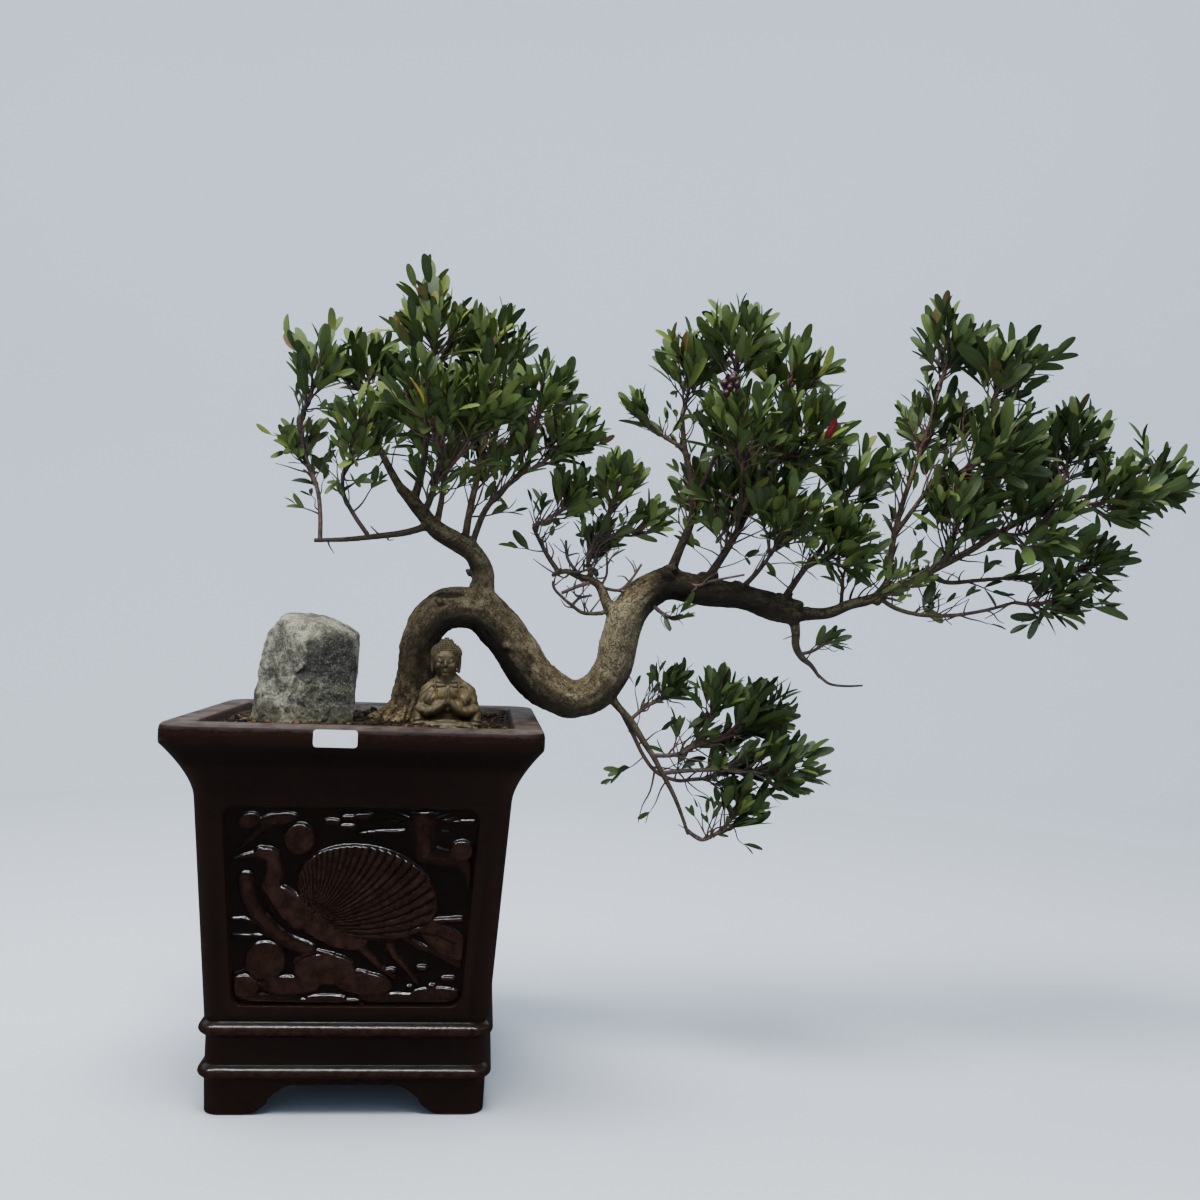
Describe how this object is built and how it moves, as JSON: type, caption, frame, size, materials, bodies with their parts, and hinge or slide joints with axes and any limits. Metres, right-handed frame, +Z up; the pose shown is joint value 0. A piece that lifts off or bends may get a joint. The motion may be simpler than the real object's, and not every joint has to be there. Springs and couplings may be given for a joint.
{
  "type": "bonsai tree in pot",
  "caption": "Semi-cascade bonsai with a snaking trunk and leafy pads, in a deep square glazed pot with feet and relief panels, with soil, a stone and a small seated figurine.",
  "frame": {"origin": "on the ground, under the middle of the outer box of the whole tree and pot", "axes": "+X towards the reaching side of the tree, -Y towards the pot's front, where the figurine faces, +Z up"},
  "size_m": [1.0027, 0.3248, 0.7753],
  "materials": {
    "glaze": "gloss",
    "soil": "matte",
    "screen": "matte",
    "bark": "matte",
    "granite": "matte",
    "bronze_resin": "satin",
    "label": "satin",
    "leaf": "satin"
  },
  "bodies": {
    "root": {"pot": "glaze", "soil": "soil", "drain_screen": "screen", "trunk": "bark", "stone": "granite", "figurine": "bronze_resin", "tag": "label", "spray_crown_1": "leaf", "spray_crown_2": "leaf", "spray_crown_3": "leaf", "spray_crown_4": "leaf", "spray_crown_5": "leaf", "spray_crown_6": "leaf", "spray_crown_7": "leaf", "spray_crown_8": "leaf", "spray_crown_9": "leaf", "spray_crown_10": "leaf", "spray_crown_11": "leaf", "spray_crown_12": "leaf", "spray_inner_1": "leaf", "spray_inner_2": "leaf", "spray_inner_3": "leaf", "spray_inner_4": "leaf", "spray_middle_1": "leaf", "spray_middle_2": "leaf", "spray_middle_3": "leaf", "spray_middle_4": "leaf", "spray_middle_5": "leaf", "spray_middle_6": "leaf", "spray_middle_7": "leaf", "spray_middle_8": "leaf", "spray_middle_9": "leaf", "spray_middle_10": "leaf", "spray_middle_11": "leaf", "spray_outer_1": "leaf", "spray_outer_2": "leaf", "spray_outer_3": "leaf", "spray_outer_4": "leaf", "spray_outer_5": "leaf", "spray_outer_6": "leaf", "spray_outer_7": "leaf", "spray_outer_8": "leaf", "spray_outer_9": "leaf", "spray_outer_10": "leaf", "spray_outer_11": "leaf", "spray_outer_12": "leaf", "spray_hanging_1": "leaf", "spray_hanging_2": "leaf", "spray_hanging_3": "leaf", "spray_hanging_4": "leaf", "spray_hanging_5": "leaf", "spray_hanging_6": "leaf", "spray_bend_sprig": "leaf", "spray_stub_sprig": "leaf", "spray_arm_sprig": "leaf"}
  },
  "joints": []
}
